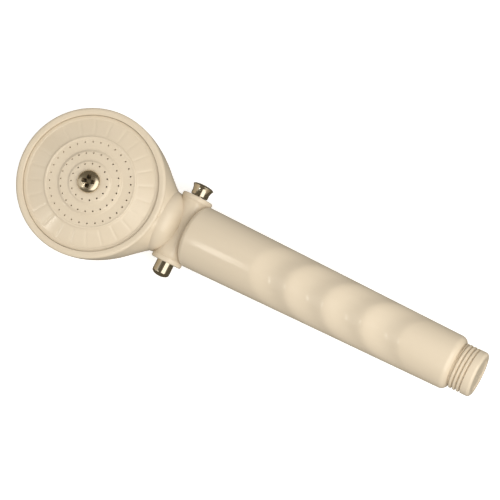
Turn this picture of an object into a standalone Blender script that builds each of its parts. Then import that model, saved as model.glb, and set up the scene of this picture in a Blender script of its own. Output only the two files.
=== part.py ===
"""Handheld shower head: a moulded head, a cross-drilled shut-off valve in the neck, and a hose handle.

The handle runs along +X, the spray face looks up along +Z, and the valve's spool slides along Y.
The whole object rests on its back, with the world origin at the centre of its footprint.
Every piece is placed from the point where the handle's axis crosses the valve's axis.
"""

import math

import bmesh
import bpy
from mathutils import Matrix, Vector

MM = 0.001
GAP = 0.3 * MM

# Spray face: a point on its axis, how far it leans from +Z towards the handle, and the rim's widest circle.
FACE_X = -41.3 * MM
FACE_Z = 24.6 * MM
FACE_TILT = math.radians(12.4)
RIM_RADIUS = 35.0 * MM
RIM_HEIGHT = -1.6 * MM
RIM_ROUND = 1.4 * MM
PLATE_RADIUS = 31.6 * MM
PLATE_EDGE_TOP = -1.9 * MM
PLATE_EDGE_BOTTOM = -5.0 * MM
LEDGE_HEIGHT = -6.6 * MM
LEDGE_RADIUS = 28.8 * MM
HUB_RADIUS = 5.2 * MM
HUB_TOP = 3.0 * MM
SCREW_TURN = math.radians(26.0)
POST_TOP = -9.0 * MM
POST_BOTTOM = -36.3 * MM

# Rings of spray holes: the ring's radius and height, how many holes it has, where its first hole is, and how
# far the holes lean outwards, in degrees.
SPRAY_RINGS = (
    (8.5 * MM, 2.85 * MM, 15, 10.4, 18.0),
    (13.6 * MM, 1.85 * MM, 24, 3.8, 24.0),
    (19.0 * MM, 0.65 * MM, 32, 0.5, 30.0),
)
SPRAY_HOLE_RADIUS = 0.4 * MM
FLUTES = 24
FLUTE_DEPTH = 0.25 * MM

# Neck of the head. Its end is raked like the face, and bulges over the valve barrel.
NECK_RADIUS = 15.3 * MM
NECK_X = -10.1 * MM
NECK_RAKE = math.tan(FACE_TILT)
NECK_BULGE = 10.1 * MM
BACK_DEPTH = 16.2 * MM
BACK_BEND_X = -33.6 * MM
FLARE_POWER = 1.85

# Valve barrel, with its spigots into the head and the handle.
BARREL_RADIUS = 6.9 * MM
BARREL_HALF = 14.6 * MM
BARREL_END_RADIUS = 7.4 * MM
BARREL_FLARE = 1.8 * MM
BORE_RADIUS = 5.4 * MM
SPIGOT_RADIUS = 6.6 * MM
SPIGOT_REACH = 16.9 * MM
SPIGOT_BORE = 4.2 * MM
SPIGOT_FLOOR = 6.3 * MM
SOCKET_RADIUS = SPIGOT_RADIUS + GAP
SOCKET_DEPTH = SPIGOT_REACH + GAP
PASSAGE_RADIUS = 4.5 * MM
PORT_RADIUS = 1.8 * MM
PORT_OFFSET = 2.2 * MM
NECK_SEAL_X = 12.0 * MM
CAP_RADIUS = 7.5 * MM
CAP_OUTER = 16.9 * MM
CAP_INNER = 13.0 * MM

# Spool: it slides 2.5 mm each way from mid travel, between the two caps.
SPOOL_TRAVEL = 2.5 * MM
STEM_RADIUS = 4.2 * MM
LAND_RADIUS = BORE_RADIUS - GAP
SHOULDER = CAP_INNER - GAP - SPOOL_TRAVEL
SPOOL_SEALS = (("inlet", -8.9 * MM), ("seat", 2.5 * MM), ("outlet", 8.9 * MM))
BUTTON_END = 24.0 * MM
KNOB_START = 17.5 * MM
KNOB_END = 23.3 * MM
KNOB_RADIUS = 5.15 * MM
STUD_RADIUS = 1.9 * MM

# Handle, from its rounded top end to the hose thread (1/2 inch, 14 threads to the inch).
HANDLE_TOP_X = 8.7 * MM
HANDLE_BULGE = 5.0 * MM
HANDLE_RADIUS = 15.0 * MM
HANDLE_TAPER = 0.0188
SHOULDER_X = 143.2 * MM
SHOULDER_ROUND = 3.2 * MM
HANDLE_WALL = 4.0 * MM
HANDLE_END = 153.9 * MM
THREAD_CREST = 10.4775 * MM
THREAD_ROOT = 9.33 * MM
THREAD_PITCH = 25.4 / 14 * MM
THREAD_START = 144.1 * MM
THREAD_STOP = 150.2 * MM
INLET_RADIUS = 7.6 * MM
INLET_FLOOR = 147.3 * MM
GROOVE_COUNT = 4
GROOVE_START = 42.2 * MM
GROOVE_STEP = 19.15 * MM
GROOVE_DEPTH = 1.6 * MM
GROOVE_SWEEP = 13.0 * MM
RIDGE_ROUNDING = 0.5

FAR_END = FACE_X + RIM_HEIGHT * math.sin(FACE_TILT) - RIM_RADIUS * math.cos(FACE_TILT)
ROOT_X = -(HANDLE_END + FAR_END) / 2
ROOT_Z = BACK_DEPTH

ALMOND = (0.72, 0.62, 0.475)
NICKEL = (0.62, 0.57, 0.50)
BRASS = (0.70, 0.50, 0.22)
RUBBER = (0.02, 0.02, 0.022)
ACETAL = (0.80, 0.80, 0.78)


def clear_scene():
    for obj in list(bpy.data.objects):
        bpy.data.objects.remove(obj, do_unlink=True)


def material(name, colour, roughness, metallic=0.0):
    mat = bpy.data.materials.new(name)
    mat.use_nodes = True
    shader = mat.node_tree.nodes["Principled BSDF"]
    shader.inputs["Base Color"].default_value = (*colour, 1.0)
    shader.inputs["Roughness"].default_value = roughness
    shader.inputs["Metallic"].default_value = metallic
    mat.diffuse_color = (*colour, 1.0)
    return mat


def empty(name, parent=None, location=(0.0, 0.0, 0.0), rotation=(0.0, 0.0, 0.0)):
    obj = bpy.data.objects.new(name, None)
    obj.empty_display_size = 0.01
    obj.location = location
    obj.rotation_euler = rotation
    obj.parent = parent
    bpy.context.scene.collection.objects.link(obj)
    return obj


def add_object(name, bm, parent, mat=None, sharp_degrees=38.0):
    """A mesh object from bm, with its faces pointing out and its round sides shaded smooth."""
    bmesh.ops.recalc_face_normals(bm, faces=bm.faces[:])
    mesh = bpy.data.meshes.new(name)
    bm.to_mesh(mesh)
    bm.free()
    mesh.shade_smooth()
    mesh.set_sharp_from_angle(angle=math.radians(sharp_degrees))
    obj = bpy.data.objects.new(name, mesh)
    obj.parent = parent
    if mat:
        mesh.materials.append(mat)
    bpy.context.scene.collection.objects.link(obj)
    return obj


def skin(rings, closed):
    """A surface over rings of points. A ring of one point is a pole; closed joins the last ring to the first."""
    bm = bmesh.new()
    rows = [[bm.verts.new(point) for point in ring] for ring in rings]
    following = rows[1:] + rows[:1] if closed else rows[1:]
    for low, high in zip(rows, following):
        count = max(len(low), len(high))
        for i in range(count):
            j = (i + 1) % count
            corners = (low[i % len(low)], low[j % len(low)], high[j % len(high)], high[i % len(high)])
            corners = list(dict.fromkeys(corners))
            if len(corners) > 2:
                bm.faces.new(corners)
    return bm


def turned(profile, sides, closed=False, lead=0.0):
    """A surface turned about Z through (radius, height) points. A closed profile makes a ring.

    lead turns its corners by that part of a side, so that a cutter's corners miss those of the piece it cuts.
    """
    rings = []
    for radius, height in profile:
        if radius == 0.0:
            rings.append([(0.0, 0.0, height)])
            continue
        angles = [2 * math.pi * (i + lead) / sides for i in range(sides)]
        rings.append([(radius * math.cos(a), radius * math.sin(a), height) for a in angles])
    return skin(rings, closed)


def rod(radius, low, high, sides=24, lead=0.4):
    return turned(((0.0, low), (radius, low), (radius, high), (0.0, high)), sides, lead=lead)


def flared_rod(room, half_length):
    """The valve barrel's outside, flared at both ends, with some room added all round."""
    half = [(BARREL_RADIUS + room, BARREL_HALF - BARREL_FLARE), (BARREL_END_RADIUS + room, BARREL_HALF)]
    if half_length > BARREL_HALF:
        half.append((BARREL_END_RADIUS + room, half_length))
    half.append((0.0, half_length))
    profile = [(radius, -height) for radius, height in half[::-1]] + half
    return turned(profile, 28, lead=0.4)


def o_ring(name, radius, section, height, parent, mat):
    """A ring seal of round section, its centre circle at the given radius and height on the parent's Z axis."""
    steps = 6
    profile = []
    for i in range(steps):
        angle = 2 * math.pi * i / steps
        profile.append((radius + section * math.cos(angle), section * math.sin(angle)))
    seal = add_object(name, turned(profile, 20, closed=True), parent, mat, 75.0)
    seal.location.z = height
    return seal


def cutter(name, bm, parent):
    obj = add_object(name, bm, parent)
    obj.hide_render = True
    obj.display_type = "WIRE"
    return obj


def boolean(target, other, operation="DIFFERENCE"):
    modifier = target.modifiers.new(other.name, "BOOLEAN")
    modifier.operation = operation
    modifier.object = other
    modifier.solver = "EXACT"


def arc(centre, radii, start, stop, steps):
    """Points on an ellipse about centre, from the start to the stop angle in degrees."""
    points = []
    for i in range(steps + 1):
        angle = math.radians(start + (stop - start) * i / steps)
        points.append((centre[0] + radii[0] * math.cos(angle), centre[1] + radii[1] * math.sin(angle)))
    return points


def across_x(x, radius, sides):
    """A circle round the handle's axis, starting at the top."""
    angles = [2 * math.pi * i / sides for i in range(sides)]
    return [Vector((x, radius * math.sin(a), radius * math.cos(a))) for a in angles]


def on_face(radius, height, sides):
    """A circle round the spray face's axis, starting at the side next to the handle."""
    towards_handle = Vector((math.cos(FACE_TILT), 0.0, -math.sin(FACE_TILT)))
    normal = Vector((math.sin(FACE_TILT), 0.0, math.cos(FACE_TILT)))
    centre = Vector((FACE_X, 0.0, FACE_Z)) + height * normal
    sideways = Vector((0.0, 1.0, 0.0))
    angles = [2 * math.pi * i / sides for i in range(sides)]
    return [centre + radius * (math.cos(a) * towards_handle + math.sin(a) * sideways) for a in angles]


def swept_sections(neck, face, back_depth, steps, sides):
    """Ellipses that swing from the neck's circle round to the face's circle, widening as they go.

    neck is (x, radius, rake) and face is (radius, height). The top of each ellipse stays near the inner bend.
    Its bottom follows a line along the back, and then a quarter ellipse up to the far side of the rim.
    """
    neck_x, neck_radius, rake = neck
    face_radius, face_height = face
    rim = on_face(face_radius, face_height, 2)
    bend_start = Vector((neck_x + rake * neck_radius, 0.0, neck_radius))
    back_start = Vector((neck_x - rake * neck_radius, 0.0, -neck_radius))
    back_bend = Vector((BACK_BEND_X, 0.0, -back_depth))
    reach = Vector((rim[1].x - back_bend.x, 0.0, rim[1].z - back_bend.z))
    straight = (back_bend - back_start).length
    curved = 0.75 * (abs(reach.x) + abs(reach.z))
    sections = []
    for step in range(1, steps):
        part = step / steps
        along = part * (straight + curved)
        if along < straight:
            back = back_start.lerp(back_bend, along / straight)
        else:
            turn = math.pi / 2 * (along - straight) / curved
            back = back_bend + Vector((reach.x * math.sin(turn), 0.0, reach.z * (1 - math.cos(turn))))
        bend = bend_start.lerp(rim[0], part)
        half = (back - bend) / 2
        width = face_radius + (neck_radius - face_radius) * (1 - part) ** FLARE_POWER
        angles = [2 * math.pi * i / sides for i in range(sides)]
        sideways = Vector((0.0, width, 0.0))
        sections.append([bend + half - half * math.cos(a) + sideways * math.sin(a) for a in angles])
    return sections


def bulged_end(neck_x, radius, bulge, rake, steps, sides):
    """Circles from the socket's mouth out to the full radius, over an end that bulges towards the barrel.

    rake is how far the end leans along X for each unit up.
    """
    start = math.asin(SOCKET_RADIUS / radius)
    rings = []
    for i in range(steps + 1):
        angle = start + (math.pi / 2 - start) * i / steps
        circle = across_x(neck_x + bulge * math.cos(angle), radius * math.sin(angle), sides)
        rings.append([point + Vector((rake * point.z, 0.0, 0.0)) for point in circle])
    return rings


def make_head_shell(root, face_axis, mat):
    """The head's casing: neck, domed back and rounded rim, hollow inside, with a post for the face screw.

    An odd number of sides gives it a corner in front and a flat at the back, to lie on.
    """
    sides = 37
    inner_neck = (-19.5 * MM, 8.8 * MM, 0.0)
    wall = 3.0 * MM
    rings = bulged_end(NECK_X, NECK_RADIUS, NECK_BULGE, NECK_RAKE, 5, sides)
    neck = (NECK_X, NECK_RADIUS, NECK_RAKE)
    rings += swept_sections(neck, (RIM_RADIUS, RIM_HEIGHT), BACK_DEPTH, 14, sides)
    pocket = PLATE_RADIUS + GAP
    lip = arc((RIM_RADIUS - RIM_ROUND, RIM_HEIGHT), (RIM_ROUND, RIM_ROUND), 0, 90, 3)
    lip.append((pocket, RIM_HEIGHT + RIM_ROUND - 0.2 * MM))
    rings += [on_face(radius, height, sides) for radius, height in lip]
    rings.append(on_face(pocket, LEDGE_HEIGHT, sides))
    rings.append(on_face(LEDGE_RADIUS, LEDGE_HEIGHT, sides))
    chamber = swept_sections(inner_neck, (LEDGE_RADIUS, LEDGE_HEIGHT), BACK_DEPTH - wall, 8, sides)
    rings += chamber[::-1]
    rings.append(across_x(inner_neck[0], inner_neck[1], sides))
    rings.append(across_x(inner_neck[0], PASSAGE_RADIUS, sides))
    rings.append(across_x(-SOCKET_DEPTH, PASSAGE_RADIUS, sides))
    rings.append(across_x(-SOCKET_DEPTH, SOCKET_RADIUS, sides))
    shell = add_object("head_shell", skin(rings, closed=True), root, mat)

    post = cutter("head_post", rod(HUB_RADIUS, POST_BOTTOM, POST_TOP, 20), face_axis)
    boolean(shell, post, "UNION")
    hole = (
        (0.0, -20.0 * MM),
        (2.5 * MM, -20.0 * MM),
        (2.5 * MM, -16.8 * MM),
        (3.7 * MM, -16.8 * MM),
        (3.7 * MM, POST_TOP + 1.0 * MM),
        (0.0, POST_TOP + 1.0 * MM),
    )
    boolean(shell, cutter("head_post_hole", turned(hole, 20), face_axis))
    return shell


def plate_profile():
    """The spray plate's section: stepped rings round a hub, then a fluted cone out to a flat edge."""
    return (
        (2.5 * MM, 2.1 * MM),
        (4.9 * MM, 2.1 * MM),
        (4.9 * MM, HUB_TOP),
        (9.3 * MM, 2.8 * MM),
        (10.3 * MM, 2.0 * MM),
        (14.1 * MM, 1.8 * MM),
        (15.3 * MM, 0.8 * MM),
        (20.4 * MM, 0.6 * MM),
        (20.8 * MM, 0.8 * MM),
        (21.3 * MM, 0.7 * MM),
        (21.8 * MM, 0.2 * MM),
        (29.9 * MM, PLATE_EDGE_TOP),
        (30.2 * MM, PLATE_EDGE_TOP + 0.1 * MM),
        (PLATE_RADIUS, PLATE_EDGE_TOP),
        (PLATE_RADIUS, PLATE_EDGE_BOTTOM),
        (LEDGE_RADIUS, PLATE_EDGE_BOTTOM),
        (20.5 * MM, -1.6 * MM),
        (HUB_RADIUS, 0.4 * MM),
        (HUB_RADIUS, POST_TOP + GAP),
        (2.5 * MM, POST_TOP + GAP),
    )


def make_spray_plate(face_axis, mat):
    """The face plate, drilled with rings of fine holes and creased by shallow radial flutes."""
    bm = turned(plate_profile(), 2 * FLUTES, closed=True)
    for vert in bm.verts:
        radius = math.hypot(vert.co.x, vert.co.y)
        place = math.atan2(vert.co.y, vert.co.x) * FLUTES / math.pi
        on_cone = 21.5 * MM < radius < 30.0 * MM and vert.co.z > -4.0 * MM
        if on_cone and round(place) % 2:
            vert.co.z -= FLUTE_DEPTH
    plate = add_object("spray_plate", bm, face_axis, mat, 25.0)

    holes = bmesh.new()
    for ring_radius, height, count, first, lean in SPRAY_RINGS:
        for i in range(count):
            angle = math.radians(first) + 2 * math.pi * i / count
            radius = SPRAY_HOLE_RADIUS
            made = bmesh.ops.create_cone(
                holes, cap_ends=True, segments=6, radius1=radius, radius2=radius, depth=10 * MM
            )
            turn = Matrix.Rotation(angle, 4, "Z")
            tilt = Matrix.Rotation(math.radians(lean), 4, "Y")
            place = turn @ Matrix.Translation((ring_radius, 0.0, height)) @ tilt
            bmesh.ops.transform(holes, matrix=place, verts=made["verts"])
    boolean(plate, cutter("spray_holes", holes, face_axis))
    return plate


def flat_ring(name, inner, outer, low, high, sides, parent, mat):
    profile = ((inner, low), (outer, low), (outer, high), (inner, high))
    return add_object(name, turned(profile, sides, closed=True), parent, mat)


def make_face_screw(face_axis, mat):
    """A cross-recess pan-head screw that holds the plate down on the post."""
    head_radius = 5.3 * MM
    seat = HUB_TOP + GAP
    shank = 2.2 * MM
    profile = [(0.0, -19.5 * MM), (1.6 * MM, -19.2 * MM), (shank, -18.4 * MM)]
    profile += [(shank, seat), (head_radius, seat)]
    profile += arc((0.0, seat + 0.5 * MM), (head_radius, 2.1 * MM), 0, 75, 5)
    profile.append((0.0, seat + 2.6 * MM))
    screw = add_object("face_screw", turned(profile, 24), face_axis, mat)

    half_width = 0.7 * MM
    floor_reach = 1.4 * MM
    top_reach = 3.9 * MM
    recess = bmesh.new()
    rows = []
    for reach, height in ((floor_reach, seat + 0.9 * MM), (top_reach, seat + 4.0 * MM)):
        row = []
        for quarter in range(4):
            turn = SCREW_TURN + quarter * math.pi / 2
            along = Vector((math.cos(turn), math.sin(turn), 0.0))
            side = Vector((-along.y, along.x, 0.0))
            lift = Vector((0.0, 0.0, height))
            row.append(recess.verts.new(along * reach - side * half_width + lift))
            row.append(recess.verts.new(along * reach + side * half_width + lift))
            row.append(recess.verts.new((along + side) * half_width + lift))
        rows.append(row)
    for i in range(12):
        j = (i + 1) % 12
        recess.faces.new((rows[0][i], rows[0][j], rows[1][j], rows[1][i]))
    recess.faces.new(rows[0])
    recess.faces.new(rows[1])
    boolean(screw, cutter("screw_recess", recess, face_axis))
    return screw


def make_screw_insert(face_axis, mat):
    """A grooved brass insert in the post."""
    profile = (
        (2.5 * MM, -16.5 * MM),
        (3.4 * MM, -16.5 * MM),
        (3.4 * MM, -13.6 * MM),
        (3.1 * MM, -13.2 * MM),
        (3.1 * MM, -12.6 * MM),
        (3.4 * MM, -12.2 * MM),
        (3.4 * MM, -9.3 * MM),
        (2.5 * MM, -9.3 * MM),
    )
    return add_object("screw_insert", turned(profile, 16, closed=True), face_axis, mat)


def make_valve_body(root, handle_axis, spool_axis, mat):
    """The valve barrel across the neck, with a spigot each way and one port to each spigot."""
    floor = SPIGOT_RADIUS - 1.2 * MM
    half_groove = 0.85 * MM
    chamfer = 0.5 * MM
    half = [
        (SPIGOT_RADIUS, NECK_SEAL_X - half_groove),
        (floor, NECK_SEAL_X - half_groove),
        (floor, NECK_SEAL_X + half_groove),
        (SPIGOT_RADIUS, NECK_SEAL_X + half_groove),
        (SPIGOT_RADIUS, SPIGOT_REACH - chamfer),
        (SPIGOT_RADIUS - chamfer, SPIGOT_REACH),
        (0.0, SPIGOT_REACH),
    ]
    profile = [(radius, -height) for radius, height in half[::-1]] + half
    body = add_object("valve_body", turned(profile, 24), handle_axis, mat)
    boolean(body, cutter("barrel", flared_rod(0.0, BARREL_HALF), spool_axis), "UNION")
    for side, name in ((1, "inlet"), (-1, "outlet")):
        ends = sorted((side * SPIGOT_FLOOR, side * 20 * MM))
        boolean(body, cutter(name + "_bore", rod(SPIGOT_BORE, *ends, 20), handle_axis))
        ends = sorted((side * 1.0 * MM, side * 8.0 * MM))
        port = cutter(name + "_port", rod(PORT_RADIUS, *ends, 12), handle_axis)
        port.location.y = -side * PORT_OFFSET
        boolean(body, port)
    boolean(body, cutter("barrel_bore", rod(BORE_RADIUS, -20 * MM, 20 * MM, 28), spool_axis))
    return body


def make_barrel_cap(name, side, spool_axis, mat):
    """A flanged cap that closes one end of the barrel and guides the spool's stem."""
    hole = STEM_RADIUS + GAP
    bead = 0.5 * MM
    profile = [
        (hole, CAP_INNER),
        (LAND_RADIUS, CAP_INNER),
        (LAND_RADIUS, BARREL_HALF + GAP),
        (CAP_RADIUS - bead, BARREL_HALF + GAP),
        (CAP_RADIUS, BARREL_HALF + GAP + bead),
        (CAP_RADIUS, CAP_OUTER - bead),
        (CAP_RADIUS - bead, CAP_OUTER),
        (hole + bead, CAP_OUTER),
        (hole, CAP_OUTER - bead),
    ]
    profile = [(radius, side * height) for radius, height in profile]
    return add_object(name, turned(profile, 24, closed=True), spool_axis, mat)


def make_valve_spool(spool_axis, mat):
    """The spool: a grooved body between its shoulders, a stem with a domed button, and a stud for the knob."""
    floor = 4.1 * MM
    half_groove = 0.85 * MM
    waist = 2.8 * MM
    button_edge = -21.9 * MM
    profile = [(0.0, -BUTTON_END)]
    profile += arc((0.0, button_edge), (STEM_RADIUS, BUTTON_END + button_edge), -68, 0, 3)
    profile += [
        (STEM_RADIUS, -SHOULDER),
        (LAND_RADIUS, -SHOULDER),
    ]
    for name, centre in SPOOL_SEALS:
        if name == "seat":
            profile += [(LAND_RADIUS, -7.5 * MM), (waist, -7.1 * MM)]
            profile += [(waist, 0.7 * MM), (LAND_RADIUS, 1.1 * MM)]
        profile += [(LAND_RADIUS, centre - half_groove), (floor, centre - half_groove)]
        profile += [(floor, centre + half_groove), (LAND_RADIUS, centre + half_groove)]
    profile += [
        (LAND_RADIUS, SHOULDER),
        (STEM_RADIUS, SHOULDER),
        (STEM_RADIUS, KNOB_START - GAP),
        (STUD_RADIUS, KNOB_START - GAP),
        (STUD_RADIUS, 20.8 * MM),
        (0.0, 20.8 * MM),
    ]
    return add_object("valve_spool", turned(profile, 20), spool_axis, mat)


def make_spool_knob(spool_axis, mat):
    """The flared, domed knob screwed on the spool's far end."""
    stud_hole = STUD_RADIUS + GAP
    flare_start = 19.0 * MM
    flare_stop = 21.9 * MM
    profile = [(0.0, 21.1 * MM), (stud_hole, 21.1 * MM), (stud_hole, KNOB_START), (STEM_RADIUS, KNOB_START)]
    for i in range(5):
        part = i / 4
        height = flare_start + part * (flare_stop - flare_start)
        profile.append((STEM_RADIUS + part**2 * (KNOB_RADIUS - STEM_RADIUS), height))
    profile += [
        (KNOB_RADIUS - 0.15 * MM, flare_stop + 0.4 * MM),
        (3.0 * MM, KNOB_END - 0.25 * MM),
        (0.0, KNOB_END),
    ]
    return add_object("spool_knob", turned(profile, 24), spool_axis, mat)


def handle_radius(x):
    return HANDLE_RADIUS - HANDLE_TAPER * (x - HANDLE_TOP_X)


def grooved_radius(x, angle):
    """The grip's radius, with finger grooves across the front that fade and sweep back towards the sides."""
    radius = handle_radius(x)
    facing = math.cos(angle)
    along = (x - GROOVE_START - GROOVE_SWEEP * (1 - facing)) / GROOVE_STEP
    if facing <= 0.0 or not 0.0 < along < GROOVE_COUNT:
        return radius
    hollow = math.hypot(math.sin(math.pi * along), RIDGE_ROUNDING) - RIDGE_ROUNDING
    deepest = math.hypot(1.0, RIDGE_ROUNDING) - RIDGE_ROUNDING
    return radius - GROOVE_DEPTH * facing**2 * hollow / deepest


def thread_radius(x, angle):
    """The hose thread: a V ridge that climbs one pitch each turn, plain beyond its last turn."""
    if x > THREAD_STOP:
        return THREAD_CREST
    phase = ((x - THREAD_START) / THREAD_PITCH - angle / (2 * math.pi)) % 1.0
    height = min(1.0, 1.6 - 3.2 * abs(phase - 0.5))
    return THREAD_ROOT + height * (THREAD_CREST - THREAD_ROOT)


def ring_about_x(x, radius_at, sides):
    points = []
    for i in range(sides):
        angle = 2 * math.pi * i / sides
        radius = radius_at(x, angle)
        points.append((x, radius * math.sin(angle), radius * math.cos(angle)))
    return points


def make_handle_shell(root, mat):
    """The hollow handle: rounded top, tapered grip with finger grooves, shoulder and male hose thread."""
    sides = 29
    rings = bulged_end(HANDLE_TOP_X, HANDLE_RADIUS, -HANDLE_BULGE, 0.0, 4, sides)
    steps = 24
    for i in range(steps + 1):
        x = GROOVE_START + (GROOVE_COUNT * GROOVE_STEP + GROOVE_SWEEP) * i / steps
        rings.append(ring_about_x(x, grooved_radius, sides))
    edge = SHOULDER_X - SHOULDER_ROUND
    top = handle_radius(edge)
    for x, radius in arc((edge, top - SHOULDER_ROUND), (SHOULDER_ROUND, SHOULDER_ROUND), 90, 0, 3):
        rings.append(across_x(x, radius, sides))
    rings.append(across_x(SHOULDER_X, THREAD_ROOT, sides))
    rings.append(across_x(THREAD_START - 0.2 * MM, THREAD_ROOT, sides))
    turns_steps = 20
    for i in range(turns_steps + 1):
        x = THREAD_START + (THREAD_STOP - THREAD_START) * i / turns_steps
        rings.append(ring_about_x(x, thread_radius, sides))
    chamfer = 1.0 * MM
    rings.append(across_x(THREAD_STOP + 0.3 * MM, THREAD_CREST, sides))
    rings.append(across_x(HANDLE_END - chamfer, THREAD_CREST, sides))
    rings.append(across_x(HANDLE_END, THREAD_CREST - chamfer, sides))
    cavity_start = 22.0 * MM
    cavity_end = 138.4 * MM
    inside = (
        (HANDLE_END, INLET_RADIUS),
        (INLET_FLOOR, INLET_RADIUS),
        (INLET_FLOOR, 5.8 * MM),
        (141.9 * MM, 5.8 * MM),
        (cavity_end, handle_radius(cavity_end) - HANDLE_WALL),
        (cavity_start, handle_radius(cavity_start) - HANDLE_WALL),
        (19.5 * MM, PASSAGE_RADIUS),
        (SOCKET_DEPTH, PASSAGE_RADIUS),
        (SOCKET_DEPTH, SOCKET_RADIUS),
    )
    rings += [across_x(x, radius, sides) for x, radius in inside]
    return add_object("handle_shell", skin(rings, closed=True), root, mat)


def make_flow_restrictor(handle_axis, mat):
    """A puck in the inlet with a groove for its seal and a circle of small holes."""
    radius = 7.2 * MM
    floor = 5.9 * MM
    middle = 149.8 * MM
    half_groove = 0.95 * MM
    profile = (
        (0.0, INLET_FLOOR + GAP),
        (radius, INLET_FLOOR + GAP),
        (radius, middle - half_groove),
        (floor, middle - half_groove),
        (floor, middle + half_groove),
        (radius, middle + half_groove),
        (radius, 152.0 * MM),
        (4.6 * MM, 152.0 * MM),
        (4.0 * MM, 150.4 * MM),
        (0.0, 150.4 * MM),
    )
    puck = add_object("flow_restrictor", turned(profile, 20), handle_axis, mat)
    holes = drill_circles(((2.4 * MM, 6),), 0.7 * MM, middle)
    boolean(puck, cutter("restrictor_holes", holes, handle_axis))
    return puck


def drill_circles(circles, radius, height):
    """Six-sided drills on circles of (radius, count) about Z. A radius of zero is the one in the middle."""
    bm = bmesh.new()
    for ring_radius, count in circles:
        for i in range(count):
            angle = 2 * math.pi * i / count
            made = bmesh.ops.create_cone(
                bm, cap_ends=True, segments=6, radius1=radius, radius2=radius, depth=8 * MM
            )
            place = Vector((ring_radius * math.cos(angle), ring_radius * math.sin(angle), height))
            bmesh.ops.translate(bm, verts=made["verts"], vec=place)
    return bm


def make_inlet_screen(handle_axis, mat):
    """A perforated disc that keeps grit out of the handle."""
    disc = add_object("inlet_screen", rod(7.2 * MM, 153.0 * MM, 153.6 * MM, 20), handle_axis, mat)
    circles = ((0.0, 1), (2.5 * MM, 6), (5.2 * MM, 12))
    boolean(disc, cutter("screen_holes", drill_circles(circles, 0.6 * MM, 153 * MM), handle_axis))
    return disc


def main():
    clear_scene()
    almond = material("almond_abs", ALMOND, 0.22)
    nickel = material("nickel_plate", NICKEL, 0.12, 1.0)
    brass = material("brass", BRASS, 0.3, 1.0)
    rubber = material("rubber", RUBBER, 0.6)
    acetal = material("acetal", ACETAL, 0.4)

    root = empty("shower_head", location=(ROOT_X, 0.0, ROOT_Z))
    face_axis = empty("face_axis", root, (FACE_X, 0.0, FACE_Z), (0.0, FACE_TILT, 0.0))
    handle_axis = empty("handle_axis", root, rotation=(0.0, math.pi / 2, 0.0))
    spool_axis = empty("spool_axis", root, rotation=(-math.pi / 2, 0.0, 0.0))

    shell = make_head_shell(root, face_axis, almond)
    handle = make_handle_shell(root, almond)
    saddle = cutter("barrel_saddle", flared_rod(GAP, 20 * MM), spool_axis)
    boolean(shell, saddle)
    boolean(handle, saddle)

    make_spray_plate(face_axis, almond)
    flat_ring("face_gasket", 28.9 * MM, PLATE_RADIUS, -6.3 * MM, -5.3 * MM, 32, face_axis, rubber)
    make_face_screw(face_axis, nickel)
    flat_ring("screw_washer", 2.6 * MM, 4.6 * MM, 2.4 * MM, HUB_TOP, 16, face_axis, rubber)
    make_screw_insert(face_axis, brass)

    make_valve_body(root, handle_axis, spool_axis, almond)
    o_ring("neck_seal_head", 6.1 * MM, 0.6 * MM, -NECK_SEAL_X, handle_axis, rubber)
    o_ring("neck_seal_handle", 6.1 * MM, 0.6 * MM, NECK_SEAL_X, handle_axis, rubber)
    make_barrel_cap("barrel_cap_knob_side", 1, spool_axis, almond)
    make_barrel_cap("barrel_cap_button_side", -1, spool_axis, almond)
    make_valve_spool(spool_axis, nickel)
    make_spool_knob(spool_axis, nickel)
    for name, centre in SPOOL_SEALS:
        o_ring("spool_seal_" + name, 4.7 * MM, 0.55 * MM, centre, spool_axis, rubber)

    make_flow_restrictor(handle_axis, acetal)
    o_ring("restrictor_seal", 6.75 * MM, 0.7 * MM, 149.8 * MM, handle_axis, rubber)
    make_inlet_screen(handle_axis, almond)


main()
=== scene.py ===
"""Looks of the handheld shower head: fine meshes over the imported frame, materials, studio and camera.

Lengths are in metres. Every piece is placed from the point where the handle's axis crosses the valve's axis,
which is the middle of the CAD node valve_body. The handle runs along +X and the spray face looks up.
"""

import math

import bmesh
import bpy
from mathutils import Matrix, Vector


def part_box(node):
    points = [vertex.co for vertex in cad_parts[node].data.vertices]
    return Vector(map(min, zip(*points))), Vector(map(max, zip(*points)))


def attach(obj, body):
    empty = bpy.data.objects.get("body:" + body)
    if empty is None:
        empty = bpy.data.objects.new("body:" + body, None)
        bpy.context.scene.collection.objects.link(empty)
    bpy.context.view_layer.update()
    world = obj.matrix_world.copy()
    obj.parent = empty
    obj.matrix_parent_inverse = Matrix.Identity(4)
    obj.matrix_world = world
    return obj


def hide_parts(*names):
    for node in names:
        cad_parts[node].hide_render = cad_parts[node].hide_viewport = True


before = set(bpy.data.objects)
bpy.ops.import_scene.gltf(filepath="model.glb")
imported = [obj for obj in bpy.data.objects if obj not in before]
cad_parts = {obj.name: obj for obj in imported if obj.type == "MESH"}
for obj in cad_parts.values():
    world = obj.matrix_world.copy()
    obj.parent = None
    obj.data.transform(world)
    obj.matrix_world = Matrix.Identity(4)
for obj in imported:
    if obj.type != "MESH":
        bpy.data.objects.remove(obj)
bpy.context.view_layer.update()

MM = 0.001

# How far the head and the handle run into the barrel, so that no gap shows; how far the barrel's outside is
# turned, in parts of a side, so that its corners miss those of other pieces; and how far cutters reach.
OVERLAP = 0.1 * MM
CUTTER_LEAD = 0.37
CUTTER_REACH = 20.0 * MM

valve_low, valve_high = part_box("valve_body")
ORIGIN = (valve_low + valve_high) / 2

# Spray face: a point on its axis, and how far that axis leans from +Z towards the handle. Heights below are
# measured along the axis from that point.
FACE_X = -41.3 * MM
FACE_Z = 24.6 * MM
FACE_TILT = math.radians(12.4)

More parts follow.
